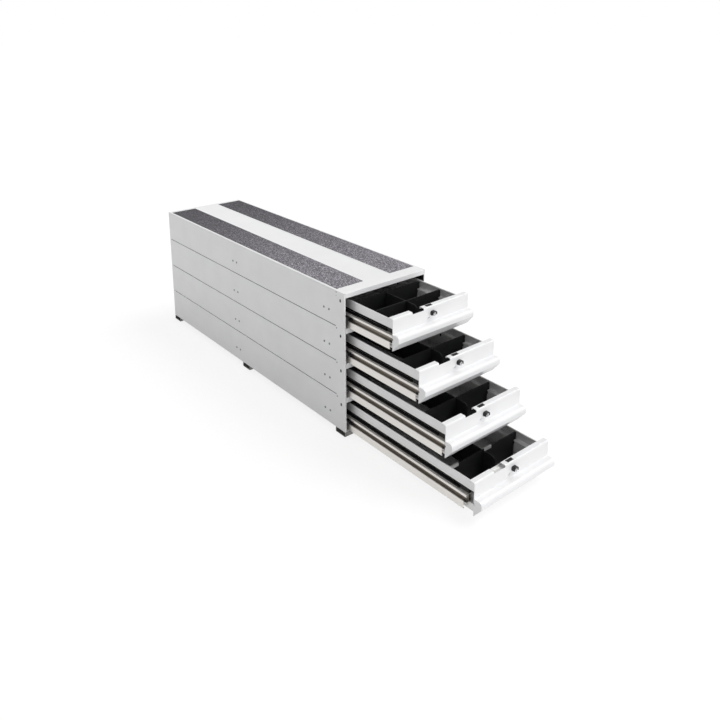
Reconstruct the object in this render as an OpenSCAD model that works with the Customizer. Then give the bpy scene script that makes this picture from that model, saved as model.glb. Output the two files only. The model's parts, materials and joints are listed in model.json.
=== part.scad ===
// Four-drawer unit for a van floor: a long sheet-metal cabinet on three cross
// channels, with full-length drawers on telescoping roller runners.
// Drawer 1 is the top one. The drawers stand part open, each further than the one above.

/* [Cabinet] */
// Width of the cabinet over its sides
cab_w = 342; // [330:1:420]
// Depth of the cabinet from its front edges to its back
cab_d = 1220; // [1200:5:1400]
// Thickness of the cabinet's sheet metal
sheet_t = 1.5; // [1.2:0.1:1.6]
// Outside radius of the bends in all sheet parts
bend_r = 1.8; // [1.7:0.05:2.1]
// Depth of the corner posts along the cabinet's sides
post_d = 44; // [38:1:60]
// Width of the flange folded in along a post's front edge
post_flange = 5; // [4:0.5:7]
// Width of the oval slots in the posts
post_slot_w = 7; // [4:0.5:9]
// Height of the oval slots in the posts
post_slot_h = 11; // [10:0.5:16]
// Distance of the oval slots from the front edge
post_slot_y = 20; // [10:1:30]
// Width of the flanges folded in along the side skins' edges
skin_flange = 8; // [5:0.5:11]
// Height of the seam between two side skins
seam_h = 1.2; // [0.6:0.1:2]
// Depth of the back panel's flanges
back_flange = 18; // [10:1:30]
// Thickness of the bottom pan
pan_t = 1.2; // [1:0.1:1.5]
// Depth of a cross rail from front to rear
rail_d = 25; // [20:1:40]

/* [Top cap] */
// Height of the cap's front flange
cap_flange = 16; // [10:0.5:20]
// Width of one anti-slip strip
grip_w = 105; // [60:1:130]
// Distance of the strips from the cabinet's sides
grip_side = 9; // [5:0.5:20]
// Distance of the strips from the front edge
grip_front = 48; // [20:1:80]
// Distance of the strips from the rear edge
grip_rear = 22; // [10:1:60]
// Thickness of the anti-slip strips
grip_t = 1; // [0.6:0.1:2]

/* [Feet] */
// Height of the cross channels under the cabinet
foot_h = 17; // [14:0.5:40]
// Width of a cross channel from front to rear
foot_w = 50; // [46:1:80]
// Thickness of a cross channel's sheet
foot_t = 2; // [1.5:0.1:2.5]
// Outside radius of the bends in the cross channels
foot_r = 3; // [2.8:0.1:4]
// Width of the flanges along a cross channel's top
foot_flange = 11; // [6:0.5:12]
// Diameter of the floor bolt holes
bolt_d = 9; // [6:0.5:12]
// Distance of the bolt holes from the cabinet's sides
bolt_inset = 25; // [22:1:60]
// Diameter of the access holes above the bolt holes
access_d = 22; // [16:1:26]

/* [Drawers] */
// Height of a drawer's front
front_h = 99; // [97:0.5:110]
// Length of a drawer's tray behind its front
tray_len = 1180; // [1100:5:1185]
// Thickness of a tray's sheet
tray_t = 1.2; // [1:0.1:1.4]
// Height of a tray's side walls
wall_h = 88; // [84:0.5:92]
// Height of the ledge along both sides of a tray
ledge_z = 60.3; // [60:0.1:64]
// Width of the ledge
ledge_w = 12; // [10:0.5:12]
// Width of the hem along a tray's top edges
hem_w = 4.2; // [4.2:0.1:6]
// Height of the hem
hem_h = 6; // [4:0.5:10]
// Space between two drawers, one above the other
level_gap = 18.5; // [14:0.5:30]
// Clearance above and below each drawer
lift_clear = 1.3; // [1:0.1:2]
// Distance from the drawer's face to the first divider slots
slot_first = 104; // [60:1:150]
// Distance from one pair of divider slots to the next
slot_pitch = 97; // [60:0.5:150]
// Width of a divider slot along the drawer
slot_w = 7; // [5:0.5:10]
// Height of a divider slot
slot_h = 9; // [5:0.5:12]
// Distance of the divider slots below the ledge
slot_drop = 3; // [2:0.5:8]

/* [Drawer fronts] */
// Distance from the cabinet's side to the end of a front
front_gap = 14.5; // [13.5:0.5:16]
// Thickness of a front's sheet
front_t = 1.5; // [1.2:0.1:1.6]
// Width of the strip of top flange behind the latch
flange_strip = 4; // [2:0.5:6]
// Radius of the bend along a front's top edge
front_r = 4; // [2:0.5:5]
// Height of the lip at the end of the top flange
front_lip = 6; // [4:0.5:8]
// Height of the shelf on top of the pull
pull_top = 51; // [50:0.5:56]
// How far the pull stands out of the face
pull_out = 26; // [20:0.5:40]
// Radius of the nose's upper edge
nose_r = 10; // [3:0.5:12]
// Height at which the pull slants back from its nose to the face's foot
nose_z = 31; // [20:0.5:34]
// Width of the finger notch in the top edge
notch_w = 46; // [30:1:56]
// Depth of the finger notch
notch_h = 7; // [6:0.5:9]
// Distance of the notch's middle from the front's middle, to the left
notch_x = 56; // [52:1:90]
// Length of the small slanting slot beside the lock
slit_len = 9.5; // [5:0.5:10]
// Width of the small slot
slit_w = 2.5; // [1:0.1:3]
// Slope of the small slot, in degrees
slit_angle = 20; // [0:1:40]
// Distance of the small slot's middle from the lock's, to the left
slit_x = 15; // [14:0.5:20]
// Distance of the small slot's middle below the lock's
slit_drop = 11; // [8:0.5:12]

/* [Latch and lock] */
// Width of the latch
latch_w = 24; // [16:1:30]
// Distance of the latch's middle from the front's middle, to the left
latch_x = 5; // [0:1:8]
// Thickness of the latch's hook
latch_t = 4; // [2:0.5:5]
// Height of the latch below the front's top edge
latch_drop = 9; // [7:0.5:9]
// Height of the lock's middle above the drawer's bottom
lock_z = 75; // [73:0.5:76]
// Distance of the lock's middle from the front's middle, to the right
lock_x = 2; // [0:1:40]
// How far the hood over the lock stands out of the face
hood_out = 11.5; // [8:0.5:18]
// Thickness of the hood's wall
hood_t = 2.2; // [2:0.1:3.5]
// Height of the hood's open foot below the lock's middle
hood_drop = 2; // [1:0.5:5]
// Radius of the hood's upper corners
hood_r = 5; // [2:0.5:7]
// How far the hood stands ahead of the barrel
hood_lead = 2; // [0.5:0.5:4]
// Diameter of the lock's body behind the face
lock_d = 16; // [15:0.2:16]
// Length of the lock's body behind the face
lock_len = 15; // [12:1:20]
// Diameter of the lock's barrel
barrel_d = 13; // [10:0.5:13]
// Width of the cam at the barrel's rear end
cam_w = 6; // [4:0.5:8]
// Thickness of the cam
cam_t = 2; // [1:0.5:3]
// Reach of the cam from the barrel's middle
cam_len = 13; // [9:0.5:13.5]
// Width of the key slot in the barrel
key_t = 1.5; // [1:0.1:2.5]

/* [Runners and rollers] */
// Thickness of a runner's walls
runner_t = 1.5; // [1.2:0.1:1.6]
// Length of a runner
runner_len = 1190; // [1100:5:1195]
// Clearance between a runner and a tray
slide_clear = 3; // [2:0.1:3.5]
// Depth of a runner's outer groove
groove_d = 9.5; // [9:0.5:10]
// Depth of a runner's inner channel
channel_d = 10.5; // [9.5:0.5:11]
// Height between a runner's flanges
channel_h = 21.3; // [20.5:0.1:21.5]
// Height of the deep lip along a runner's lower edge
deep_lip = 23; // [15:0.5:23]
// Height of the short lip along a runner's upper edge
short_lip = 6.3; // [4:0.1:7]
// Width of the return at the foot of the deep lip
lip_return = 5; // [4:0.5:7]
// Height of the groove's lower edge above the drawer's bottom
groove_z = 23.5; // [23.5:0.1:24]
// How far a runner's end lies behind the drawer's face
runner_lead = 3; // [3:0.5:6]
// How far the deep lip is cut back at the runner's end
lip_cut = 10; // [4:1:20]
// Travel of a runner out of the cabinet
runner_travel = 498; // [430:1:520]
// Diameter of the rollers
roller_d = 18.4; // [16:0.2:18.6]
// Width of the rollers
roller_w = 7; // [5:0.2:7.4]
// Diameter of a roller's pin
pin_d = 6; // [5:0.2:6.4]
// Radial clearance of a roller on its pin
pin_clear = 0.05; // [0.02:0.01:0.1]
// How far the front rollers' middles lie before the cabinet's front edges
roller_ahead = 7; // [4:0.5:7]
// Diameter of the collar that keeps a front roller clear of the side
stub_d = 10; // [8:0.5:11]
// Length of a roller bracket behind the front edge
bracket_len = 122; // [115:1:160]
// Thickness of a roller bracket
bracket_t = 2; // [1.5:0.1:3]
// Height of a roller bracket
bracket_h = 24; // [21:0.5:24]
// How far a bracket reaches below the roller's middle
bracket_low = 9; // [7:0.5:10]
// Height of the bracket's nose in front of the post
bracket_nose = 14; // [12:0.5:16]
// Distance of the guide blocks' middles from the front edge
guide_y = 664; // [600:1:680]
// Length of a guide block
guide_len = 40; // [36:1:60]
// Thickness of a guide block's base
guide_base = 4; // [3:0.5:6]
// Height of a guide block's neck
guide_neck = 11; // [8:0.5:12]
// Diameter of a rivet's head
rivet_head = 7; // [5:0.5:8]
// Diameter of a rivet's shank
rivet_d = 4; // [3:0.5:4.5]
// Height of a rivet's head
rivet_up = 0.8; // [0.5:0.1:1.5]
// Distance between the two rivets of a bracket or a guide block
rivet_pitch = 27; // [18:1:28]
// Height of the rivets above the rollers' middles
rivet_z = 6.7; // [5:0.1:8]
// Distance of a bracket's first rivet from the front edge
rivet_y = 78; // [70:1:84]
// Length of a glide pad
glide_len = 30; // [15:1:60]
// Width of a glide pad
glide_w = 9; // [6:0.5:18]
// Distance of a glide pad from the runner's end
glide_y = 3; // [1:0.5:10]
// Diameter of the stop disc near a runner's end
stop_d = 8.2; // [6:0.2:8.2]
// Thickness of the stop disc
stop_t = 1.6; // [1:0.1:1.6]
// Distance of the stop disc's middle from the runner's end
stop_y = 6; // [5:0.5:12]
// Distance of a drawer's tail rollers from the tray's rear edge
tail_roller = 28; // [15:1:60]

/* [Dividers] */
// Thickness of the dividers
divider_t = 3; // [2:0.5:4]
// Height of the dividers' top edges
divider_h = 85; // [76:0.5:86]
// Distance of the lengthwise dividers from the middle, to the left
divider_x = 6; // [0:1:20]
// Free space between a drawer's face and the lengthwise divider behind it
lock_room = 58; // [23:1:70]
// Radius of the front corner of the foremost lengthwise divider
long_r = 14; // [4:1:16]
// Radius of the upper corners of the cross dividers
cross_r = 5; // [2:0.5:6]
// Length of the clip at the end of the lowest cross divider
clip_len = 30; // [20:1:40]
// Height of the clips' legs
clip_h = 8; // [5:0.5:12]
// Thickness of the clips
clip_t = 1; // [0.6:0.1:1.2]

/* [Pose] */
// How far the faces stand before the cabinet when the drawers are shut
shut_out = 9; // [9:0.5:12]
// How far drawer 1 stands open
pull_1 = 206; // [20:1:500]
// How far drawer 2 stands open
pull_2 = 317; // [20:1:500]
// How far drawer 3 stands open
pull_3 = 423; // [20:1:500]
// How far drawer 4 stands open
pull_4 = 532; // [20:1:1000]

/* [Hidden] */

// Overrun of every cut past the part that it goes through
over = 1;
// Clearance between pieces that pass or sit beside each other
gap = 0.3;
// Straight steps in a bend of the sheet, and in a wide curve
bend_steps = 3;
wide_steps = 8;
// Roundness of pins and rollers, and of small holes and heads
fine = 64;
coarse = 32;

levels = [1, 2, 3, 4];
sides = [-1, 1];
pulls = [pull_1, pull_2, pull_3, pull_4];

// Heights in the cabinet, above the underside of its sides
pitch = front_h + level_gap;
base_z = pan_t + lift_clear;
cap_z = base_z + len(levels) * pitch - level_gap + lift_clear + cap_flange;
side_h = cap_z - sheet_t;
rail_h = level_gap - 2 * lift_clear;
function level_z(level) = base_z + (len(levels) - level) * pitch;
function seam_z(i) = i * pitch;

// Distances from the cabinet's middle
half_w = cab_w / 2;
panel_in = half_w - sheet_t;
lip_x = half_w - front_gap;
web_x = lip_x - groove_d;
channel_x = web_x - runner_t;
flange_x = channel_x - channel_d;
tray_low = flange_x - slide_clear;
tray_up = tray_low + ledge_w;

// Heights above a drawer's bottom
runner_top = groove_z + channel_h + runner_t;
roller_z = groove_z + channel_h - gap - roller_d / 2;
low_ledge_z = groove_z - 2 * gap;
latch_z = front_h - latch_drop;

// Places across and along the drawers
hook_y = shut_out + sheet_t + gap;
latch_back = hook_y + latch_t;
front_flange = latch_back + gap + flange_strip;
barrel_out = hood_out - hood_lead;
roller_in = web_x + (groove_d - runner_t - roller_w) / 2;
tail_in = flange_x + (channel_d - roller_w) / 2;
tail_y = front_t + tray_len - tail_roller;
slot_count = floor((tray_len - slot_first - 2 * tail_roller) / slot_pitch) + 1;

// A sheet part is the path of its outer face, thickened to the left of its travel.
// Corners are rounded by one radius, or by a list of them in which 0 leaves a corner sharp.
function unit(v) = v / norm(v);
function left_of(v) = [-v[1], v[0]];
function turned(v, a) = [v[0] * cos(a) - v[1] * sin(a), v[0] * sin(a) + v[1] * cos(a)];
function step(p, i) = unit(p[i + 1] - p[i]);
function turn_at(a, b) = atan2(a[0] * b[1] - a[1] * b[0], a * b);
function corner(p, i, r, steps) =
    let (a = step(p, i - 1), turn = turn_at(a, step(p, i)))
    let (start = p[i] - a * r * tan(abs(turn) / 2), spoke = left_of(a) * r * sign(turn))
    r == 0 ? [p[i]] : [for (j = [0 : steps]) start + spoke - turned(spoke, turn * j / steps)];
function rounded(p, r, steps = bend_steps) = [
    p[0],
    for (i = [1 : len(p) - 2]) each corner(p, i, is_list(r) ? r[i - 1] : r, steps),
    p[len(p) - 1]
];
function beside(p, i, t) =
    let (a = step(p, max(i - 1, 0)), b = step(p, min(i, len(p) - 2)))
    p[i] + left_of(a + b) * t / (1 + a * b);
function sheet(p, t) = concat(p, [for (i = [len(p) - 1 : -1 : 0]) beside(p, i, t)]);
function backwards(p) = [for (i = [len(p) - 1 : -1 : 0]) p[i]];
function across(p) = [for (point = p) [-point[0], point[1]]];

// An outline in X and Z, drawn out along Y
module along_y(from, length) {
    translate([0, from + length, 0]) rotate([90, 0, 0]) linear_extrude(length) children();
}

// An outline in Y and Z, drawn out along X
module along_x(from, length) {
    translate([from, 0, 0]) rotate([90, 0, 90]) linear_extrude(length) children();
}

// A round bar along X, and one along Y
module bar_x(from, length, d, round = fine) {
    translate([from, 0, 0]) rotate([0, 90, 0]) cylinder(d = d, h = length, $fn = round);
}
module bar_y(from, length, d, round = fine) {
    translate([0, from + length, 0]) rotate([90, 0, 0]) cylinder(d = d, h = length, $fn = round);
}

// Places: the cabinet with its front edges at Y = 0 and its underside at Z = 0,
// a drawer or its runners with the drawer's face at Y = 0 and its bottom at Z = 0
module in_cabinet() {
    translate([0, -cab_d / 2, foot_h]) children();
}
module at_level(level) {
    in_cabinet() translate([0, 0, level_z(level)]) children();
}
module in_drawer(level) {
    at_level(level) translate([0, -pulls[level - 1], 0]) children();
}
module on_runner(level) {
    at_level(level) translate([0, -min(pulls[level - 1], shut_out + runner_travel), 0]) children();
}
module both_sides() {
    children();
    mirror([1, 0, 0]) children();
}

// Sides

module front_post() {
    color([0.8, 0.8, 0.81]) in_cabinet() difference() {
        linear_extrude(side_h) polygon(sheet(rounded([
            [-half_w, post_d], [-half_w, 0], [-half_w + post_flange, 0]], bend_r), sheet_t));
        for (level = levels) {
            // Notch for the nose of the roller bracket
            translate([-panel_in, -over, level_z(level) + roller_z - bracket_nose / 2 - gap])
                cube([post_flange + over, over + bend_r + gap, bracket_nose + 2 * gap]);
            // Oval slot
            translate([-half_w - over, post_slot_y, level_z(level) + wall_h]) {
                for (end = sides)
                    translate([0, 0, end * (post_slot_h - post_slot_w) / 2])
                        bar_x(0, sheet_t + 2 * over, post_slot_w, coarse);
                translate([0, -post_slot_w / 2, -(post_slot_h - post_slot_w) / 2])
                    cube([sheet_t + 2 * over, post_slot_w, post_slot_h - post_slot_w]);
            }
        }
    }
}
module front_post_left() {
    front_post();
}
module front_post_right() {
    mirror([1, 0, 0]) front_post();
}

// One skin for each drawer; the lowest has no flange at its foot, where the pan lies
module side_skin(i) {
    bottom = i == 0 ? 0 : seam_z(i) + seam_h / 2;
    top = i == len(levels) - 1 ? side_h : seam_z(i + 1) - seam_h / 2;
    head = [[-half_w + skin_flange, top], [-half_w, top], [-half_w, bottom]];
    foot = i == 0 ? [] : [[-half_w + skin_flange, bottom]];
    along_y(post_d, cab_d - post_d) polygon(sheet(rounded(concat(head, foot), bend_r), sheet_t));
}
module side_skins() {
    color([0.76, 0.77, 0.77]) in_cabinet() difference() {
        for (i = [0 : len(levels) - 1]) side_skin(i);
        // The flanges stop short of the back panel
        translate([-panel_in, cab_d - back_flange - gap, -over])
            cube([skin_flange, back_flange + gap + over, side_h + 2 * over]);
        rivet_places() bar_x(-over, sheet_t + 2 * over, rivet_d + 2 * pin_clear, coarse);
    }
}
module side_skins_left() {
    side_skins();
}
module side_skins_right() {
    mirror([1, 0, 0]) side_skins();
}

// The left side's rivets, from the outer face inwards
module rivet_places() {
    for (level = levels, y = [rivet_y, guide_y - rivet_pitch / 2], i = [0, 1])
        translate([-half_w, y + i * rivet_pitch, level_z(level) + roller_z + rivet_z]) children();
}
module side_rivets() {
    color([0.6, 0.6, 0.6]) in_cabinet() both_sides() rivet_places() {
        bar_x(0, sheet_t + bracket_t, rivet_d, coarse);
        bar_x(-rivet_up, rivet_up, rivet_head, coarse);
    }
}

// Cap, back, pan and rails

module top_cap() {
    color([0.93, 0.93, 0.92]) in_cabinet() {
        translate([-half_w, bend_r, side_h]) cube([cab_w, cab_d - bend_r, sheet_t]);
        along_x(-half_w + post_flange + gap, cab_w - 2 * (post_flange + gap))
            polygon(sheet(rounded([
                [post_flange, cap_z], [0, cap_z], [0, cap_z - cap_flange]], bend_r), sheet_t));
    }
}

module grip_strip() {
    color([0.38, 0.36, 0.4]) in_cabinet() translate([-half_w + grip_side, grip_front, cap_z])
        cube([grip_w, cab_d - grip_front - grip_rear, grip_t]);
}
module grip_strip_left() {
    grip_strip();
}
module grip_strip_right() {
    mirror([1, 0, 0]) grip_strip();
}

module back_panel() {
    color([0.76, 0.77, 0.77]) in_cabinet() translate([0, 0, pan_t]) linear_extrude(side_h - pan_t)
        polygon(sheet(rounded([
            [panel_in, cab_d - back_flange], [panel_in, cab_d],
            [-panel_in, cab_d], [-panel_in, cab_d - back_flange]], bend_r), sheet_t));
}

module bottom_pan() {
    color([0.7, 0.7, 0.7]) in_cabinet() difference() {
        translate([-panel_in, sheet_t + gap, 0]) cube([2 * panel_in, cab_d - sheet_t - gap, pan_t]);
        for (side = sides, y = foot_places())
            translate([side * (half_w - bolt_inset), y + foot_w / 2, -over])
                cylinder(d = access_d, h = pan_t + 2 * over, $fn = coarse);
    }
}

// Inverted channel over a drawer, which its latch hooks behind; tabs at its ends meet the sides
module cross_rail(i) {
    bottom = level_z(i + 1) + front_h + lift_clear;
    top = bottom + rail_h;
    end_x = half_w - post_flange - gap;
    color([0.9, 0.9, 0.9]) in_cabinet() {
        along_x(-end_x, 2 * end_x) polygon(sheet(rounded([
            [rail_d, bottom], [rail_d, top], [0, top], [0, bottom]], bend_r), sheet_t));
        translate([-panel_in, sheet_t + gap, top - sheet_t])
            cube([2 * panel_in, rail_d - sheet_t - gap - bend_r, sheet_t]);
    }
}
module cross_rail_1() {
    cross_rail(1);
}
module cross_rail_2() {
    cross_rail(2);
}
module cross_rail_3() {
    cross_rail(3);
}

// Feet: channels across the cabinet, bolted down through their bottoms
function foot_places() = [0, (cab_d - foot_w) / 2, cab_d - foot_w];
module foot_channel(i) {
    color([0.6, 0.6, 0.61]) in_cabinet() translate([0, foot_places()[i], -foot_h]) difference() {
        along_x(-half_w, cab_w) polygon(sheet(rounded([
            [foot_flange, foot_h], [0, foot_h], [0, 0], [foot_w, 0],
            [foot_w, foot_h], [foot_w - foot_flange, foot_h]], foot_r), foot_t));
        for (side = sides)
            translate([side * (half_w - bolt_inset), foot_w / 2, -over])
                cylinder(d = bolt_d, h = foot_t + 2 * over, $fn = coarse);
    }
}
module foot_channel_front() {
    foot_channel(0);
}
module foot_channel_middle() {
    foot_channel(1);
}
module foot_channel_rear() {
    foot_channel(2);
}

// Brackets with the front rollers' pins, and guide blocks that run in the outer grooves

module roller_bracket() {
    nose_y = -roller_ahead - bracket_nose / 2;
    translate([-panel_in, bend_r + gap, -bracket_low])
        cube([bracket_t, bracket_len - bend_r - gap, bracket_h]);
    translate([-panel_in, nose_y, -bracket_nose / 2])
        cube([bracket_t, 2 * bend_r - nose_y, bracket_nose]);
    translate([0, -roller_ahead, 0]) {
        bar_x(-panel_in, panel_in - lip_x - gap, stub_d);
        bar_x(-panel_in, panel_in - web_x - gap, pin_d);
    }
}
module roller_brackets() {
    color([0.72, 0.72, 0.73]) in_cabinet() both_sides() difference() {
        for (level = levels)
            translate([0, 0, level_z(level) + roller_z]) roller_bracket();
        rivet_places() bar_x(-over, sheet_t + bracket_t + 2 * over, rivet_d + 2 * pin_clear, coarse);
    }
}

module guide_block() {
    neck_z = (groove_z + runner_top - short_lip) / 2;
    roller_out = roller_in + roller_w;
    translate([-panel_in, -guide_len / 2, roller_z - bracket_low])
        cube([guide_base, guide_len, bracket_h]);
    translate([-panel_in, -guide_len / 2, neck_z - guide_neck / 2])
        cube([panel_in - roller_in, guide_len, guide_neck]);
    translate([-roller_out, -guide_len / 2, groove_z + gap])
        cube([roller_w, guide_len, channel_h - 2 * gap]);
}
module guide_blocks() {
    color([0.15, 0.15, 0.15]) in_cabinet() both_sides() difference() {
        for (level = levels) translate([0, guide_y, level_z(level)]) guide_block();
        rivet_places() bar_x(-over, sheet_t + bracket_t + over, rivet_d + 2 * pin_clear, coarse);
    }
}

// Runners: a flange, a short lip, a web between two channels, and a deep lip

module runner_profile() {
    polygon(sheet(rounded([
        [-flange_x, runner_top], [-lip_x, runner_top], [-lip_x, runner_top - short_lip]],
        bend_r), runner_t));
    polygon(sheet(rounded([
        [-channel_x, groove_z], [-lip_x, groove_z], [-lip_x, groove_z - deep_lip],
        [-lip_x + lip_return, groove_z - deep_lip]], bend_r), runner_t));
    translate([-web_x, groove_z - runner_t]) square([runner_t, channel_h + 2 * runner_t]);
    translate([-web_x, groove_z]) square([runner_t + channel_d, runner_t]);
}
module runners(level) {
    color([0.84, 0.82, 0.79]) on_runner(level) both_sides() difference() {
        along_y(runner_lead, runner_len) runner_profile();
        translate([-lip_x - over, runner_lead - over, groove_z - deep_lip - over])
            cube([lip_return + 2 * over, lip_cut + over, deep_lip + over - runner_t]);
    }
}

// A pad on the runner's top flange under the tray's ledge, and a stop disc in its groove
module glide_pads(level) {
    color([0.12, 0.12, 0.12]) on_runner(level) both_sides() translate([0, runner_lead, 0]) {
        translate([-flange_x - glide_w, glide_y, runner_top])
            cube([glide_w, glide_len, ledge_z - tray_t - gap - runner_top]);
        translate([-lip_x, stop_y, groove_z + stop_d / 2]) bar_x(0, stop_t, stop_d);
        translate([-lip_x, stop_y - stop_d / 3, groove_z]) cube([stop_t, 2 * stop_d / 3, stop_t]);
    }
}

// Rollers: those at the cabinet's front turn on the brackets' pins, the tail rollers on the tray's

module roller(inner) {
    difference() {
        bar_x(-inner - roller_w, roller_w, roller_d);
        bar_x(-inner - roller_w - over, roller_w + 2 * over, pin_d + 2 * pin_clear);
    }
}
module front_rollers(level) {
    color([0.1, 0.1, 0.1]) at_level(level) translate([0, -roller_ahead, roller_z])
        both_sides() roller(roller_in);
}
module tail_rollers(level) {
    color([0.1, 0.1, 0.1]) in_drawer(level) translate([0, tail_y, roller_z])
        both_sides() roller(tail_in);
}

// Trays

tray_half = [
    [-tray_up + hem_w, wall_h - hem_h], [-tray_up + hem_w, wall_h], [-tray_up, wall_h],
    [-tray_up, ledge_z - tray_t], [-tray_low, ledge_z - tray_t],
    [-tray_low, low_ledge_z], [-tray_up, low_ledge_z], [-tray_up, 0]
];
function tray_path(first) =
    let (half = [for (i = [first : len(tray_half) - 1]) tray_half[i]])
    rounded(concat(half, backwards(across(half))), bend_r);

module tray(level) {
    color([0.86, 0.86, 0.86]) in_drawer(level) {
        difference() {
            along_y(front_t, tray_len) polygon(sheet(tray_path(0), tray_t));
            // Slots under the ledges for the dividers
            both_sides() for (i = [0 : slot_count - 1])
                translate([-tray_low - over, slot_first + i * slot_pitch - slot_w / 2,
                    ledge_z - tray_t - slot_drop - slot_h])
                    cube([tray_t + 2 * over, slot_w, slot_h]);
        }
        along_y(front_t + tray_len - tray_t, tray_t) polygon(tray_path(2));
        along_y(front_t, tray_t) polygon(tray_path(4));
        // Pins of the tail rollers
        both_sides() translate([0, tail_y, roller_z])
            bar_x(-tail_in - roller_w, tail_in + roller_w - tray_low + tray_t / 2, pin_d);
    }
}

// Fronts: a face with a flange along its top, and below it a hollow pull with a shelf on top,
// a nose that is rounded above, and an underside that slants back to the face's foot

nose = [[-pull_out, pull_top], [-pull_out, nose_z], [0, 0]];
function front_path() = rounded(concat([
    [front_flange, front_h - front_lip], [front_flange, front_h], [0, front_h], [0, pull_top]],
    nose), [bend_r, front_r, bend_r, nose_r, bend_r], wide_steps);
function pull_end() =
    rounded(concat([[front_t, pull_top]], nose, [[front_t, 0]]), [nose_r, bend_r, 0], wide_steps);

module front(level) {
    pin_room = pin_d + 2 * gap;
    color([0.96, 0.96, 0.96]) in_drawer(level) difference() {
        union() {
            along_x(-lip_x, 2 * lip_x) polygon(sheet(front_path(), front_t));
            both_sides() along_x(-lip_x, front_t) polygon(pull_end());
        }
        // Finger notch
        translate([-notch_x - notch_w / 2, -over, front_h - notch_h])
            cube([notch_w, front_flange + 2 * over, notch_h + over]);
        // Room for the latch in the flange
        translate([-latch_x - latch_w / 2 - gap, front_r, front_h - front_t - over])
            cube([latch_w + 2 * gap, latch_back + gap - front_r, front_t + 2 * over]);
        // Hole for the lock, and the small slanting slot beside it
        translate([lock_x, 0, lock_z])
            bar_y(-over, front_t + 2 * over, lock_d + 2 * pin_clear);
        translate([lock_x - slit_x, -over, lock_z - slit_drop]) rotate([0, -slit_angle, 0])
            translate([-slit_len / 2, 0, -slit_w / 2])
                cube([slit_len, front_t + 2 * over, slit_w]);
        // Room for the fixed rollers' pins behind the ends of the pull
        both_sides() translate([-lip_x - over, shut_out - roller_ahead - pin_room / 2,
            roller_z - pin_room / 2])
            cube([front_t + 2 * over, pin_room, pin_room]);
    }
}

// The latch lies flush in the flange, with a hook that stands up along its rear edge
module latch(level) {
    button_y = front_r + gap;
    hook_top = front_h + lift_clear - gap;
    color([0.08, 0.08, 0.08]) in_drawer(level) along_x(-latch_x - latch_w / 2, latch_w) polygon([
        [button_y, latch_z], [latch_back, latch_z], [latch_back, hook_top], [hook_y, hook_top],
        [hook_y, front_h], [button_y, front_h]]);
}

// The lock's body behind the face, with a hood over the barrel that is open below
module lock_housing(level) {
    bore = barrel_d / 2 + pin_clear;
    top = bore + hood_t;
    color([0.12, 0.12, 0.12]) in_drawer(level) translate([lock_x, 0, lock_z]) difference() {
        union() {
            along_y(-hood_out, hood_out) polygon(rounded([
                [-top, -hood_drop], [-top, top], [top, top], [top, -hood_drop]], hood_r, wide_steps));
            bar_y(-gap, gap + lock_len, lock_d);
        }
        bar_y(-hood_out - over, hood_out + lock_len + 2 * over, 2 * bore);
        translate([-bore, -hood_out - over, -hood_drop - over])
            cube([2 * bore, hood_out + over - gap, hood_drop + over]);
    }
}

// The barrel turns in the housing, and its cam lies across behind it
module lock_barrel(level) {
    cam_y = lock_len + gap;
    color([0.7, 0.7, 0.72]) in_drawer(level) translate([lock_x, 0, lock_z]) {
        difference() {
            bar_y(-barrel_out, barrel_out + cam_y, barrel_d);
            translate([-key_t / 2, -barrel_out - over, -barrel_d / 4])
                cube([key_t, over + barrel_out / 2, barrel_d / 2]);
        }
        translate([-cam_w / 2, cam_y, -cam_w / 2]) cube([cam_len + cam_w / 2, cam_t, cam_w]);
        bar_y(0, cam_y + cam_t, cam_w);
    }
}

// Dividers: plates across the tray that rest over its ledges, and plates lengthwise between them

divider_z = tray_t + gap;
divider_low = tray_low - tray_t - gap;
divider_up = tray_up - hem_w - gap;

module cross_divider(y) {
    half = [[divider_low, divider_z], [divider_low, ledge_z + gap], [divider_up, ledge_z + gap],
        [divider_up, divider_h], [0, divider_h]];
    outline = rounded(half, [0, 0, cross_r], wide_steps);
    along_y(y - divider_t / 2, divider_t)
        polygon(concat(outline, backwards(across([for (p = outline) if (p[0] > 0) p]))));
}
module long_divider(from, to, end_r) {
    top = divider_h - divider_t;
    along_x(-divider_x - divider_t / 2, divider_t) polygon(rounded([
        [from, divider_z], [from, top], [to, top], [to, divider_z]], [end_r, 0], wide_steps));
}
module dividers(level) {
    side = divider_t / 2 + gap;
    next = level == 1 ? slot_first + slot_pitch : front_t + tray_len - tray_t + divider_t / 2;
    color([0.07, 0.07, 0.07]) in_drawer(level) {
        cross_divider(slot_first);
        if (level == 1) cross_divider(slot_first + slot_pitch);
        long_divider(lock_room, slot_first - side, long_r);
        long_divider(slot_first + side, next - side, 0);
    }
}

// Bent clips over the top edge of the lowest drawer's cross divider
module divider_clips_4() {
    side = divider_t / 2 + gap + clip_t;
    top = divider_h + gap + clip_t;
    color([0.8, 0.8, 0.78]) in_drawer(4) translate([0, slot_first, 0])
        for (x = [-divider_up, -divider_x + divider_t])
            along_x(x, clip_len) polygon(sheet([
                [side, top - clip_h], [side, top], [-side, top], [-side, top - clip_h]], clip_t));
}

module tray_1() {
    tray(1);
}
module front_1() {
    front(1);
}
module dividers_1() {
    dividers(1);
}
module runners_1() {
    runners(1);
}
module glide_pads_1() {
    glide_pads(1);
}
module front_rollers_1() {
    front_rollers(1);
}
module tail_rollers_1() {
    tail_rollers(1);
}
module latch_1() {
    latch(1);
}
module lock_housing_1() {
    lock_housing(1);
}
module lock_barrel_1() {
    lock_barrel(1);
}

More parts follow.
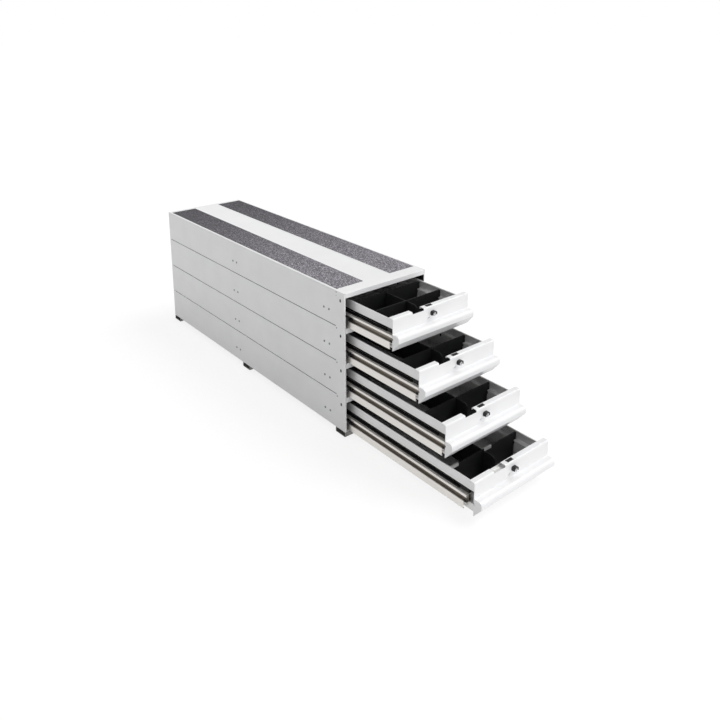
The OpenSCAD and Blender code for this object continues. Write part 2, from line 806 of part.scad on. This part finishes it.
module tray_2() {
    tray(2);
}
module front_2() {
    front(2);
}
module dividers_2() {
    dividers(2);
}
module runners_2() {
    runners(2);
}
module glide_pads_2() {
    glide_pads(2);
}
module front_rollers_2() {
    front_rollers(2);
}
module tail_rollers_2() {
    tail_rollers(2);
}
module latch_2() {
    latch(2);
}
module lock_housing_2() {
    lock_housing(2);
}
module lock_barrel_2() {
    lock_barrel(2);
}

module tray_3() {
    tray(3);
}
module front_3() {
    front(3);
}
module dividers_3() {
    dividers(3);
}
module runners_3() {
    runners(3);
}
module glide_pads_3() {
    glide_pads(3);
}
module front_rollers_3() {
    front_rollers(3);
}
module tail_rollers_3() {
    tail_rollers(3);
}
module latch_3() {
    latch(3);
}
module lock_housing_3() {
    lock_housing(3);
}
module lock_barrel_3() {
    lock_barrel(3);
}

module tray_4() {
    tray(4);
}
module front_4() {
    front(4);
}
module dividers_4() {
    dividers(4);
}
module runners_4() {
    runners(4);
}
module glide_pads_4() {
    glide_pads(4);
}
module front_rollers_4() {
    front_rollers(4);
}
module tail_rollers_4() {
    tail_rollers(4);
}
module latch_4() {
    latch(4);
}
module lock_housing_4() {
    lock_housing(4);
}
module lock_barrel_4() {
    lock_barrel(4);
}

front_post_left();
front_post_right();
side_skins_left();
side_skins_right();
top_cap();
grip_strip_left();
grip_strip_right();
back_panel();
bottom_pan();
cross_rail_1();
cross_rail_2();
cross_rail_3();
foot_channel_front();
foot_channel_middle();
foot_channel_rear();
roller_brackets();
guide_blocks();
side_rivets();
tray_1();
front_1();
dividers_1();
runners_1();
glide_pads_1();
front_rollers_1();
tail_rollers_1();
latch_1();
lock_housing_1();
lock_barrel_1();
tray_2();
front_2();
dividers_2();
runners_2();
glide_pads_2();
front_rollers_2();
tail_rollers_2();
latch_2();
lock_housing_2();
lock_barrel_2();
tray_3();
front_3();
dividers_3();
runners_3();
glide_pads_3();
front_rollers_3();
tail_rollers_3();
latch_3();
lock_housing_3();
lock_barrel_3();
tray_4();
front_4();
dividers_4();
divider_clips_4();
runners_4();
glide_pads_4();
front_rollers_4();
tail_rollers_4();
latch_4();
lock_housing_4();
lock_barrel_4();
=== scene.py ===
"""A van drawer unit, dressed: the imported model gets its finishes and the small
parts that are too fine for it, under plain studio light. Lengths are metres, apart
from those that a comment gives in millimetres."""
import json
import math

import bmesh
import bpy
from mathutils import Euler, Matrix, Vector


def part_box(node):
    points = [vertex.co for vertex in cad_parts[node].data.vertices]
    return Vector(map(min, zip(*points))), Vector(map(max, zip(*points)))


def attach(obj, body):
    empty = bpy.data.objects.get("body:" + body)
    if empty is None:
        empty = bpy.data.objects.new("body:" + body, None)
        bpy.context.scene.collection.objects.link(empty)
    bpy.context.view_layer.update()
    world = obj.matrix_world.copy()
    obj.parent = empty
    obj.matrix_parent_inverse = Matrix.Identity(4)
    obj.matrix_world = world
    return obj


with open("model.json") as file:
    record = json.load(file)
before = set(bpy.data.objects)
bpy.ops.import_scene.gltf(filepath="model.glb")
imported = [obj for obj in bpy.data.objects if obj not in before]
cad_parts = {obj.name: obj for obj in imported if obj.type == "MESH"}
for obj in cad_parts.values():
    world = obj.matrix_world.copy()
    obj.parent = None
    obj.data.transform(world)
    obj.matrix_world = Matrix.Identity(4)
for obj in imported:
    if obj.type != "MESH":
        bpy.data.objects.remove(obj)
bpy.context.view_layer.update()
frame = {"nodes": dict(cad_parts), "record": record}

nodes = frame["nodes"]
MM = 0.001
LEVELS = (1, 2, 3, 4)       # drawer 1 is the top one
SIDES = {"left": -1, "right": 1}


# Heights above a drawer's bottom and distances from the middle that no node's box gives
TRAY_WALL = 132 * MM        # outer face of a tray's wall under the ledge
LEDGE_Z = 59.1 * MM         # underside of the tray's ledge
GROOVE_Z = 23.5 * MM        # floor of the runner's groove
RUNNER_TOP = 46.3 * MM      # top flange of the runner
PLATE_IN = 167.5 * MM       # inner face of the roller brackets' plates
POST_SLOT_Z = 88 * MM       # middle of the posts' slots

# Distances behind the cabinet's front
POST_SLOT_Y = 20 * MM       # middle of the posts' slots
SCREW_Y = 40 * MM           # screws at the posts' rear edges


def drawer_z(level):
    """Height of a drawer's bottom, which is also its tray's."""
    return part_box(f"tray_{level}")[0].z


pitch = drawer_z(3) - drawer_z(4)
half_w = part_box("front_post_right")[1].x
front_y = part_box("front_post_left")[0].y
rear_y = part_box("top_cap")[1].y
side_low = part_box("front_post_left")[0].z
runner_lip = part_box("runners_1")[1].x


# Colour and node helpers

def srgb(code):
    """A hex colour as written, turned into the linear value that the shader wants."""
    parts = [int(code[i:i + 2], 16) / 255 for i in (0, 2, 4)]
    linear = [p / 12.92 if p <= 0.04045 else ((p + 0.055) / 1.055) ** 2.4 for p in parts]
    return (*linear, 1.0)


def add(tree, kind, settings=None, stops=(), **links):
    """Adds one node. Settings are its own properties, and stops a ramp's pairs of place and
    hex colour. Links are its inputs, by name or as i and a number, each a plain value or
    another node's output."""
    node = tree.nodes.new(kind)
    for name, value in (settings or {}).items():
        setattr(node, name, value)
    for number, (position, code) in enumerate(stops):
        # A new ramp has two stops already
        element = (node.color_ramp.elements[number] if number < 2
                   else node.color_ramp.elements.new(1.0))
        element.position = position
        element.color = srgb(code)
    for name, value in links.items():
        key = int(name[1:]) if name[0] == "i" and name[1:].isdigit() else name.replace("_", " ")
        socket = node.inputs[key]
        if isinstance(value, bpy.types.NodeSocket):
            tree.links.new(value, socket)
        else:
            socket.default_value = value
    return node


def material(name, **surface):
    """A material with one shader, whose constants are set on its own sockets. Returns it
    with its tree, its shader and the place of each point on the object."""
    mat = bpy.data.materials.new(name)
    mat.use_nodes = True
    tree = mat.node_tree
    tree.nodes.clear()
    shader = add(tree, "ShaderNodeBsdfPrincipled", **surface)
    add(tree, "ShaderNodeOutputMaterial", Surface=shader.outputs["BSDF"])
    place = add(tree, "ShaderNodeTexCoord").outputs["Object"]
    return mat, tree, shader, place


def coordinates(tree, place):
    """The three coordinates of a place, and its distance from the unit's middle."""
    axes = add(tree, "ShaderNodeSeparateXYZ", Vector=place).outputs
    away = add(tree, "ShaderNodeMath", {"operation": "ABSOLUTE"}, i0=axes["X"])
    return axes, away.outputs["Value"]


def per_mm(size):
    """Texture scale at which one cell of a pattern is size millimetres wide."""
    return 1 / (size * MM)


# Finishes

FINE_RELIEF = 0.1 * MM              # height of orange peel, drawn lines and grain
WHITE_COAT = ("EEEEEF", "F3F3F4")   # handled patches and clean coat
BRIGHT_ZINC = ("C9C9C8", "DEDEDC")
# Dark primer in the seams, also used as painted shade inside the cabinet and in the slots
PRIMER_AND_SHADE = "1E1F20"
BLACKING = "121213"


def powder_coat(name):
    """Gloss powder coat on steel: even, almost white, with the faint orange peel of baked
    powder and slightly greyer handled patches, a hand's breadth wide. Returns what the coat
    with painted shade inside adds to."""
    mat, tree, shader, place = material(
        name, Metallic=0.0, IOR=1.5, Coat_Weight=0.25, Coat_Roughness=0.12)
    patches = add(tree, "ShaderNodeTexNoise", Vector=place, Scale=per_mm(90), Detail=3.0)
    white = add(tree, "ShaderNodeValToRGB", stops=[(0.3, WHITE_COAT[0]), (0.7, WHITE_COAT[1])],
                Fac=patches.outputs["Fac"]).outputs["Color"]
    tree.links.new(white, shader.inputs["Base Color"])
    gloss = add(tree, "ShaderNodeMapRange", Value=patches.outputs["Fac"],
                To_Min=0.3, To_Max=0.42)
    tree.links.new(gloss.outputs["Result"], shader.inputs["Roughness"])
    # Real orange peel is about 1 mm wide; it is drawn at 2.5 mm so that it shows
    peel = add(tree, "ShaderNodeTexNoise", Vector=place, Scale=per_mm(2.5), Detail=1.0)
    bump = add(tree, "ShaderNodeBump", Height=peel.outputs["Fac"], Strength=0.12,
               Distance=FINE_RELIEF)
    tree.links.new(bump.outputs["Normal"], shader.inputs["Normal"])
    return mat, tree, shader, place, white


def coat_with_shaded_inside():
    """Folded skins and posts are powder coated on the outside; the flanges in the seams show dark
    primer, and the insides and the walls of the slots are painted dark as shade."""
    mat, tree, shader, place, white = powder_coat("white powder coat with dark seams and painted shade")
    # The coat wraps this far round the outer faces, about half of the sheet
    wrap = 0.7 * MM
    axes, away = coordinates(tree, place)
    on_side = add(tree, "ShaderNodeMath", {"operation": "GREATER_THAN"},
                  i0=away, i1=half_w - wrap)
    in_front = add(tree, "ShaderNodeMath", {"operation": "LESS_THAN"},
                   i0=axes["Y"], i1=front_y + wrap)
    outside = add(tree, "ShaderNodeMath", {"operation": "MAXIMUM"},
                  i0=on_side.outputs["Value"], i1=in_front.outputs["Value"])
    # Away from the outer faces the coat turns dark: painted shade, and the dark primer of the
    # seams
    both = add(tree, "ShaderNodeMix", {"data_type": "RGBA"}, i0=outside.outputs["Value"],
               i6=srgb(PRIMER_AND_SHADE), i7=white)
    tree.links.new(both.outputs[2], shader.inputs["Base Color"])
    return mat


def galvanised_sheet():
    """Pre-galvanised steel of the trays: pale grey zinc with a faint spangle and fine drawn
    lines along the sheet."""
    mat, tree, shader, place = material("galvanised tray sheet", Metallic=0.5)
    # Spangle of the tray's thin sheet is about 8 mm across
    spangle = add(tree, "ShaderNodeTexVoronoi", Vector=place, Scale=per_mm(8))
    cell = add(tree, "ShaderNodeSeparateColor", Color=spangle.outputs["Color"])
    zinc = add(tree, "ShaderNodeValToRGB", stops=[(0.0, "E0E0E0"), (1.0, "E3E3E3")],
               Fac=cell.outputs["Red"])
    tree.links.new(zinc.outputs["Color"], shader.inputs["Base Color"])
    gloss = add(tree, "ShaderNodeMapRange", Value=cell.outputs["Green"],
                To_Min=0.42, To_Max=0.46)
    tree.links.new(gloss.outputs["Result"], shader.inputs["Roughness"])
    # Real drawn lines are finer than 1 mm; here they are 1.2 mm wide, so that they show, and
    # 50 times as long
    long_way = add(tree, "ShaderNodeMapping", Vector=place, Scale=(1.0, 0.02, 1.0))
    lines = add(tree, "ShaderNodeTexNoise", Vector=long_way.outputs["Vector"],
                Scale=per_mm(1.2), Detail=2.0)
    bump = add(tree, "ShaderNodeBump", Height=lines.outputs["Fac"], Strength=0.1,
               Distance=FINE_RELIEF)
    tree.links.new(bump.outputs["Normal"], shader.inputs["Normal"])
    return mat


def rolled_runner():
    """Roll-formed zinc steel of the runners: warm pale metal with lines along the rolling,
    and brown-grey painted shade in the grooves where the rollers run."""
    mat, tree, shader, place = material("rolled zinc runner", Metallic=0.75)
    axes, away = coordinates(tree, place)
    # The painted shade starts this far behind the lips, and is full at twice that
    shade_inset = 2 * MM
    behind_lip = add(tree, "ShaderNodeMapRange", {"interpolation_type": "SMOOTHSTEP"},
                     Value=away, From_Min=runner_lip - 2 * shade_inset,
                     From_Max=runner_lip - shade_inset, To_Min=1.0, To_Max=0.0)
    # On each level it reaches from a sheet's thickness under the groove's floor, so that
    # the floor is covered too, to as much under the top flange's upper face
    sheet = 1 * MM
    above = add(tree, "ShaderNodeMath", {"operation": "SUBTRACT"},
                i0=axes["Z"], i1=drawer_z(4))
    height = add(tree, "ShaderNodeMath", {"operation": "WRAP"},
                 i0=above.outputs["Value"], i1=pitch, i2=0.0)
    over_floor = add(tree, "ShaderNodeMath", {"operation": "GREATER_THAN"},
                     i0=height.outputs["Value"], i1=GROOVE_Z - sheet)
    under_flange = add(tree, "ShaderNodeMath", {"operation": "LESS_THAN"},
                       i0=height.outputs["Value"], i1=RUNNER_TOP - sheet)
    at_height = add(tree, "ShaderNodeMath", {"operation": "MULTIPLY"},
                    i0=over_floor.outputs["Value"], i1=under_flange.outputs["Value"])
    in_groove = add(tree, "ShaderNodeMath", {"operation": "MULTIPLY"},
                    i0=behind_lip.outputs["Result"], i1=at_height.outputs["Value"])
    # Rolling leaves lines up to 2 mm wide and more than 50 times as long
    long_way = add(tree, "ShaderNodeMapping", Vector=place, Scale=(1.0, 0.015, 1.0))
    lines = add(tree, "ShaderNodeTexNoise", Vector=long_way.outputs["Vector"],
                Scale=per_mm(2), Detail=3.0)
    clean = add(tree, "ShaderNodeValToRGB", stops=[(0.3, "E2DED9"), (0.7, "EBE8E4")],
                Fac=lines.outputs["Fac"])
    # Brown-grey painted shade of the recessed groove
    groove_shade = add(tree, "ShaderNodeValToRGB", stops=[(0.3, "7E776F"), (0.7, "9A938B")],
                  Fac=lines.outputs["Fac"])
    both = add(tree, "ShaderNodeMix", {"data_type": "RGBA"}, i0=in_groove.outputs["Value"],
               i6=clean.outputs["Color"], i7=groove_shade.outputs["Color"])
    tree.links.new(both.outputs[2], shader.inputs["Base Color"])
    gloss = add(tree, "ShaderNodeMapRange", Value=lines.outputs["Fac"],
                To_Min=0.32, To_Max=0.45)
    tree.links.new(gloss.outputs["Result"], shader.inputs["Roughness"])
    bump = add(tree, "ShaderNodeBump", Height=lines.outputs["Fac"], Strength=0.15,
               Distance=FINE_RELIEF)
    tree.links.new(bump.outputs["Normal"], shader.inputs["Normal"])
    return mat


def grit_tape():
    """Anti-slip tape: mineral grit in a dark violet-grey binder. Single grains sparkle pale
    among dark ones, and it is drawn paler towards the front as a painted sheen."""
    mat, tree, shader, place = material("anti-slip grit tape", Metallic=0.0, IOR=1.55,
                                        Roughness=0.8)
    # Grit is about 0.8 mm; it is drawn at 2.5 mm so that it shows
    grit = add(tree, "ShaderNodeTexVoronoi", Vector=place, Scale=per_mm(2.5))
    grain = add(tree, "ShaderNodeSeparateColor", Color=grit.outputs["Color"])
    axes = add(tree, "ShaderNodeSeparateXYZ", Vector=place)
    # Painted sheen: the tape turns paler towards the front, where light glances off it
    sheen_ramp = add(tree, "ShaderNodeMapRange", {"interpolation_type": "SMOOTHSTEP"},
                 Value=axes.outputs["Y"], From_Min=front_y, From_Max=rear_y,
                 To_Min=1.0, To_Max=0.0)
    rear_grit = add(tree, "ShaderNodeValToRGB", Fac=grain.outputs["Red"],
                stops=[(0.1, "151317"), (0.55, "2E2B30"), (0.8, "45414A"), (1.0, "85818A")])
    front_sheen = add(tree, "ShaderNodeValToRGB", Fac=grain.outputs["Red"],
               stops=[(0.1, "48454B"), (0.5, "737076"), (0.8, "96929A"), (1.0, "CCC9D1")])
    both = add(tree, "ShaderNodeMix", {"data_type": "RGBA"}, i0=sheen_ramp.outputs["Result"],
               i6=rear_grit.outputs["Color"], i7=front_sheen.outputs["Color"])
    tree.links.new(both.outputs[2], shader.inputs["Base Color"])
    # Grains stand half a millimetre out of the binder
    bump = add(tree, "ShaderNodeBump", Height=grit.outputs["Distance"], Strength=0.6,
               Distance=0.5 * MM)
    tree.links.new(bump.outputs["Normal"], shader.inputs["Normal"])
    return mat


def steel(name, dark, pale, grain, roughness):
    """Plain or plated steel: metallic, with a cloudy grain of so many millimetres. Returns
    what a steel with blackened parts adds to."""
    mat, tree, shader, place = material(name, Metallic=0.7)
    cloud = add(tree, "ShaderNodeTexNoise", Vector=place, Scale=per_mm(grain), Detail=4.0)
    colour = add(tree, "ShaderNodeValToRGB", stops=[(0.3, dark), (0.7, pale)],
                 Fac=cloud.outputs["Fac"]).outputs["Color"]
    tree.links.new(colour, shader.inputs["Base Color"])
    gloss = add(tree, "ShaderNodeMapRange", Value=cloud.outputs["Fac"],
                To_Min=roughness, To_Max=roughness + 0.12)
    tree.links.new(gloss.outputs["Result"], shader.inputs["Roughness"])
    bump = add(tree, "ShaderNodeBump", Height=cloud.outputs["Fac"], Strength=0.1,
               Distance=FINE_RELIEF)
    tree.links.new(bump.outputs["Normal"], shader.inputs["Normal"])
    return mat, tree, shader, place, colour


def bracket_steel():
    """Zinc plated bracket plates whose stubs, pins and noses are blackened against rust."""
    mat, tree, shader, place, zinc = steel(
        "zinc plate with blackened pins", *BRIGHT_ZINC, grain=12, roughness=0.3)
    axes, away = coordinates(tree, place)
    inside = add(tree, "ShaderNodeMath", {"operation": "LESS_THAN"}, i0=away, i1=PLATE_IN)
    # A nose is what stands further than this out of the cabinet
    nose_out = 4.5 * MM
    nose = add(tree, "ShaderNodeMath", {"operation": "LESS_THAN"},
               i0=axes["Y"], i1=front_y - nose_out)
    black = add(tree, "ShaderNodeMath", {"operation": "MAXIMUM"},
                i0=inside.outputs["Value"], i1=nose.outputs["Value"])
    both = add(tree, "ShaderNodeMix", {"data_type": "RGBA"}, i0=black.outputs["Value"],
               i6=zinc, i7=srgb(BLACKING))
    tree.links.new(both.outputs[2], shader.inputs["Base Color"])
    return mat


def black_plastic(name, dark, pale, grain, roughness, sheen):
    """Moulded black plastic, or the lock's enamel: deep satin black with a fine grain of so
    many millimetres, up to three times as coarse as the real one so that it shows."""
    mat, tree, shader, place = material(name, Metallic=0.0, IOR=1.49, Specular_IOR_Level=sheen)
    # Flow marks of moulded plastic are some 35 mm long
    cloud = add(tree, "ShaderNodeTexNoise", Vector=place, Scale=per_mm(35), Detail=3.0)
    black = add(tree, "ShaderNodeValToRGB", stops=[(0.3, dark), (0.7, pale)],
                Fac=cloud.outputs["Fac"])
    tree.links.new(black.outputs["Color"], shader.inputs["Base Color"])
    gloss = add(tree, "ShaderNodeMapRange", Value=cloud.outputs["Fac"],
                To_Min=roughness, To_Max=roughness + 0.1)
    tree.links.new(gloss.outputs["Result"], shader.inputs["Roughness"])
    grainy = add(tree, "ShaderNodeTexNoise", Vector=place, Scale=per_mm(grain), Detail=1.0)
    bump = add(tree, "ShaderNodeBump", Height=grainy.outputs["Fac"], Strength=0.2,
               Distance=FINE_RELIEF)
    tree.links.new(bump.outputs["Normal"], shader.inputs["Normal"])
    return mat


FINISHES = {
    "side_sheet": powder_coat("white powder coat on the back and floor")[0],
    "white_enamel": powder_coat("gloss white powder coat")[0],
    "tray_sheet": galvanised_sheet(),
    "runner_metal": rolled_runner(),
    "grip_sheet": grit_tape(),
    "foot_sheet": steel("dull zinc channel", "6E6D6C", "8B8A88", grain=25, roughness=0.5)[0],
    "steel_fittings": steel("bright zinc plate", *BRIGHT_ZINC, grain=12, roughness=0.3)[0],
    "rivet_steel": steel("plain rivet steel", "6A6B6D", "86878B", grain=3, roughness=0.4)[0],
    "black_nylon": black_plastic(
        "black nylon", "0D0D0D", "141414", grain=1.0, roughness=0.5, sheen=0.3),
    "roller_plastic": black_plastic(
        "black acetal roller", "0A0A0A", "121212", grain=0.8, roughness=0.4, sheen=0.35),
    "divider_plastic": black_plastic(
        "black polypropylene divider", "0A0A0B", "101112", grain=1.2, roughness=0.6, sheen=0.2),
    "latch_plastic": black_plastic(
        "black latch plastic", "0B0B0B", "131313", grain=0.8, roughness=0.35, sheen=0.35),
    "lock_black": black_plastic(
        "black lock enamel", "0B0B0C", "131314", grain=0.8, roughness=0.3, sheen=0.4),
    "lock_metal": steel("nickel plate", "C4C5C8", "DADBDC", grain=5, roughness=0.22)[0],
}
coat_with_painted_shade = coat_with_shaded_inside()
# Nodes of two finishes, which take these in place of their slots'
OWN_FINISHES = {"side_skins_left": coat_with_painted_shade, "side_skins_right": coat_with_painted_shade,
                "front_post_left": coat_with_painted_shade, "front_post_right": coat_with_painted_shade,
                "roller_brackets": bracket_steel()}

slots = {part["node"]: part["material_slot"] for part in frame["record"]["subparts"]}
for name, node in nodes.items():
    node.data.materials.clear()
    node.data.materials.append(OWN_FINISHES.get(name, FINISHES[slots[name]]))

# Moulded pieces have no sharp edges: a fine round catches the light along each
EDGE_ROUNDS = {"dividers": 0.6 * MM, "latch": 0.4 * MM, "glide_pads": 0.4 * MM}
for level in LEVELS:
    for kind, radius in EDGE_ROUNDS.items():
        bevel = nodes[f"{kind}_{level}"].modifiers.new("moulded edges", "BEVEL")
        bevel.width = radius
        bevel.segments = 2
        bevel.limit_method = "ANGLE"


# Small parts that are too fine for the imported model, and black pieces of painted shade

AROUND = 24                 # points round a plug or a screw's head


def skinned(name, rings):
    """A closed mesh through rings of as many points each, with a face on either end. Each
    small part's own function returns such rings, from one end of the part to the other."""
    shape = bmesh.new()
    loops = [[shape.verts.new(point) for point in ring] for ring in rings]
    for one, other in zip(loops, loops[1:]):
        for i in range(len(one)):
            j = (i + 1) % len(one)
            shape.faces.new((one[i], one[j], other[j], other[i]))
    shape.faces.new(loops[0])
    shape.faces.new(loops[-1])
    bmesh.ops.recalc_face_normals(shape, faces=shape.faces)
    mesh = bpy.data.meshes.new(name)
    shape.to_mesh(mesh)
    shape.free()
    return mesh


def carried(name, rings, body, slot):
    """Puts a part into the scene with a slot's finish, and lets it ride on a body."""
    obj = bpy.data.objects.new(name, skinned(name, rings))
    bpy.context.scene.collection.objects.link(obj)
    obj.data.materials.append(FINISHES[slot])
    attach(obj, body)


def shade_liner(level, side):
    """A black nylon angle on the tray's wall, painted shade that darkens the recess under the
    ledge over the runner's flange. Its ends are drawn in."""
    low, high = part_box(f"tray_{level}")
    leg, foot, foot_t, lead = 1.2 * MM, 2.4 * MM, 1.0 * MM, 2.0 * MM
    # It hangs from the ledge to just over the runner
    foot_z, head_z = RUNNER_TOP + 0.6 * MM, LEDGE_Z - 0.05 * MM

    def ring(y, drawn_in):
        outline = [(0, foot_z + drawn_in), (leg, foot_z + drawn_in), (leg, head_z - foot_t),
                   (foot - drawn_in, head_z - foot_t), (foot - drawn_in, head_z), (0, head_z)]
        return [(side * (TRAY_WALL + x), y, low.z + z) for x, z in outline]

    start, end = low.y + lead, high.y - lead
    return [ring(start, lead / 2), ring(start + lead, 0), ring(end - lead, 0),
            ring(end, lead / 2)]


def flange_shade_tape(level, side):
    """Black tape on a runner's top flange, from its glide pad to its rear end: painted shade."""
    low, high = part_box(f"runners_{level}")
    inner, outer, thick, pad_end = 135.3 * MM, 147 * MM, 0.9 * MM, 35 * MM
    foot_z = drawer_z(level) + RUNNER_TOP
    outline = [(inner, foot_z), (outer, foot_z), (outer, foot_z + thick), (inner, foot_z + thick)]
    return [[(side * x, y, z) for x, z in outline] for y in (low.y + pad_end, high.y)]


def stop_plate():
    """A folded plate inside the lowest front: it is spot welded to the face, reaches back
    under the finger notch and stands up behind it."""
    low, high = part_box("front_4")
    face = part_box("tray_4")[0].y
    # It spans most of the notch's width, and its top ends just under the front's
    left, right = -77 * MM, -38 * MM
    plate, shelf_z, back, foot = 1.2 * MM, 90 * MM, 15.2 * MM, 14 * MM
    top = high.z - low.z - 0.5 * MM
    outline = [(0, shelf_z - foot), (plate, shelf_z - foot), (plate, shelf_z - plate),
               (back, shelf_z - plate), (back, top), (back - plate, top),
               (back - plate, shelf_z), (0, shelf_z)]
    return [[(x, face + y, low.z + z) for y, z in outline] for x in (left, right)]


def slot_shade_plug(level, side):
    """A black oval plug in a post's slot, with 0.2 mm to spare all round: painted shade."""
    radius, half_straight = 3.3 * MM, 2 * MM
    y, z = front_y + POST_SLOT_Y, drawer_z(level) + POST_SLOT_Z
    # Shares of the radius, and how far out of the post each ring lies
    profile = [(1.0, -1.2 * MM), (1.0, 0.1 * MM), (0.8, 0.4 * MM)]
    turns = [math.tau * (i + 0.5) / AROUND for i in range(AROUND)]
    return [[(side * (half_w + out),
              y + share * radius * math.cos(turn),
              z + share * radius * math.sin(turn) + math.copysign(half_straight, math.sin(turn)))
             for turn in turns] for share, out in profile]


def screw_head(height, radius, side):
    """A low domed head on the cabinet's side."""
    y, z = front_y + SCREW_Y, side_low + height
    rise = 0.6 * MM
    # Shares of the radius and of the rise
    profile = [(1.0, -0.2), (1.0, 0.3), (0.8, 0.8), (0.4, 1.0)]
    turns = [math.tau * i / AROUND for i in range(AROUND)]
    return [[(side * (half_w + out * rise),
              y + share * radius * math.cos(turn),
              z + share * radius * math.sin(turn)) for turn in turns]
            for share, out in profile]


# Liners, flange tapes and slot plugs are black pieces that paint shade
for level in LEVELS:
    for word, side in SIDES.items():
        carried(f"shade_liner_{word}_{level}", shade_liner(level, side), f"drawer_{level}",
                "black_nylon")
        carried(f"flange_shade_tape_{word}_{level}", flange_shade_tape(level, side), f"runner_{level}",
                "black_nylon")
        carried(f"slot_shade_plug_{word}_{level}", slot_shade_plug(level, side), "cabinet", "black_nylon")
carried("stop_plate", stop_plate(), "drawer_4", "steel_fittings")

# A screw holds each skin's front end to the post just under its seam, and two small ones hold
# the cap's corner: heights above the sides' lower edge, and radii of the heads
UNDER_SEAM = 5.5 * MM
screws = [(seam * pitch - UNDER_SEAM, 2.4 * MM) for seam in (1, 2, 3)]
screws += [(466 * MM, 2 * MM), (455 * MM, 1.4 * MM)]
for number, (height, radius) in enumerate(screws, 1):
    for word, side in SIDES.items():
        carried(f"post_screw_{word}_{number}", screw_head(height, radius, side), "cabinet",
                "rivet_steel")


# Camera at the photograph's angle; the photograph is 720 pixels square

PHOTO_W = 720
FOCAL_PIXELS = 734.8
SENSOR = 36.0               # width in millimetres, as the lens is too
SHIFT = -0.24               # share of the picture's width
# How far the camera stands from the cabinet's lower front left corner
CAMERA_FROM_CORNER = Vector((-1287.6, -1654.0, 1308.2)) * MM
# In degrees: down from level, roll, and swing to the right
LOOK_DOWN, ROLL, SWING = 13.5, 0.2, 39.3

camera_data = bpy.data.cameras.new("photo camera")
camera_data.sensor_width = SENSOR
camera_data.lens = FOCAL_PIXELS * SENSOR / PHOTO_W
camera_data.shift_y = SHIFT
camera_data.clip_end = 100
camera = bpy.data.objects.new("photo camera", camera_data)
skins_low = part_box("side_skins_left")[0]
camera.location = Vector((skins_low.x, front_y, skins_low.z)) + CAMERA_FROM_CORNER
camera.rotation_euler = Euler(
    (math.radians(90 - LOOK_DOWN), math.radians(ROLL), math.radians(-SWING)), "XYZ")
bpy.context.scene.collection.objects.link(camera)
bpy.context.scene.camera = camera


# Floor, world and lamps

def seen_or_lit(tree, lit, seen):
    """One shader for the light on the object, another for what eye, gloss and glass see."""
    rays = add(tree, "ShaderNodeLightPath")
    eye = add(tree, "ShaderNodeMath", {"operation": "MAXIMUM"},
              i0=rays.outputs["Is Camera Ray"], i1=rays.outputs["Is Glossy Ray"])
    any_eye = add(tree, "ShaderNodeMath", {"operation": "MAXIMUM"},
                  i0=eye.outputs["Value"], i1=rays.outputs["Is Transmission Ray"])
    return add(tree, "ShaderNodeMixShader", Fac=any_eye.outputs["Value"],
               i1=lit, i2=seen).outputs["Shader"]


view = bpy.context.scene.view_settings
view.view_transform = "Standard"

# The world lights the object softly, and is plain white to the eye
world = bpy.data.worlds.new("studio")
bpy.context.scene.world = world
world.use_nodes = True
tree = world.node_tree
tree.nodes.clear()
lighting = add(tree, "ShaderNodeBackground", Color=srgb("FFFFFF"), Strength=0.45)
backdrop = add(tree, "ShaderNodeBackground", Color=srgb("FFFFFF"), Strength=1.0)
add(tree, "ShaderNodeOutputWorld",
    Surface=seen_or_lit(tree, lighting.outputs["Background"], backdrop.outputs["Background"]))

FLOOR_HALF = 30.0
floor_mesh = bpy.data.meshes.new("studio floor")
floor_mesh.from_pydata(
    [(x * FLOOR_HALF, y * FLOOR_HALF, 0) for x, y in ((-1, -1), (1, -1), (1, 1), (-1, 1))],
    [], [(0, 1, 2, 3)])
floor = bpy.data.objects.new("studio floor", floor_mesh)
bpy.context.scene.collection.objects.link(floor)

# White paper: most of its white is its own to the eye, so that the shadow on it stays pale
paper = bpy.data.materials.new("white paper floor")
paper.use_nodes = True
tree = paper.node_tree
tree.nodes.clear()
lit = add(tree, "ShaderNodeBsdfDiffuse", Color=srgb("ECECEC"))
shadowed = add(tree, "ShaderNodeBsdfDiffuse", Color=srgb("8C8C8C"))
own = add(tree, "ShaderNodeEmission", Color=srgb("FFFFFF"), Strength=0.8)
paler = add(tree, "ShaderNodeAddShader", i0=shadowed.outputs["BSDF"],
            i1=own.outputs["Emission"])
add(tree, "ShaderNodeOutputMaterial",
    Surface=seen_or_lit(tree, lit.outputs["BSDF"], paler.outputs["Shader"]))
floor_mesh.materials.append(paper)


def soft_sun(name, tilt, swing, strength, spread):
    """A wide sun, tilted from overhead and swung about the upright, in degrees."""
    data = bpy.data.lights.new(name, "SUN")
    data.energy = strength
    data.angle = math.radians(spread)
    lamp = bpy.data.objects.new(name, data)
    lamp.rotation_euler = Euler((math.radians(tilt), 0, math.radians(swing)), "XYZ")
    bpy.context.scene.collection.objects.link(lamp)


soft_sun("key from the right", tilt=36, swing=60, strength=1.6, spread=40)
soft_sun("low fill from the front", tilt=84, swing=0, strength=1.0, spread=50)
